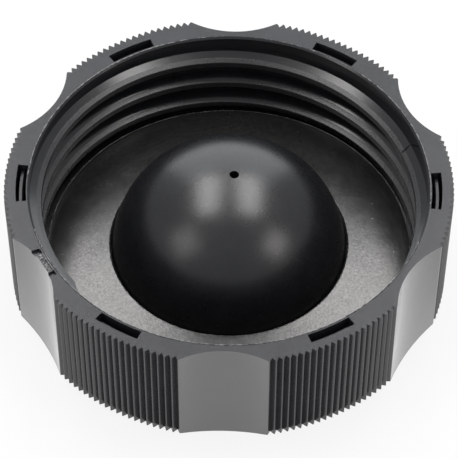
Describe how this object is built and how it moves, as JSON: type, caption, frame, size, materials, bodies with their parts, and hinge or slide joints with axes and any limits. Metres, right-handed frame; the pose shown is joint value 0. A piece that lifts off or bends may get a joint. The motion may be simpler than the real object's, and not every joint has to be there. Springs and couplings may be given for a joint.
{
  "type": "diesel exhaust fluid filler cap",
  "caption": "Screw-on filler cap with ribbed grip panels between smooth scallops, a slotted rim, a coarse internal thread, a sealing gasket and a vented dome.",
  "frame": {"origin": "on the cap's axis, in the plane of the crown face that the cap rests on", "axes": "+Z along the cap's axis, out of its mouth; +X near the middle of one ribbed panel"},
  "size_m": [0.08, 0.0786, 0.0256],
  "materials": {
    "cap_body": "satin",
    "sealing_gasket": "satin",
    "crown_cover": "satin",
    "vent_plate": "satin",
    "vent_membrane": "matte"
  },
  "bodies": {
    "root": {"cap_body": "cap_body", "sealing_gasket": "sealing_gasket", "crown_cover": "crown_cover", "vent_plate": "vent_plate", "vent_membrane": "vent_membrane"}
  },
  "joints": []
}
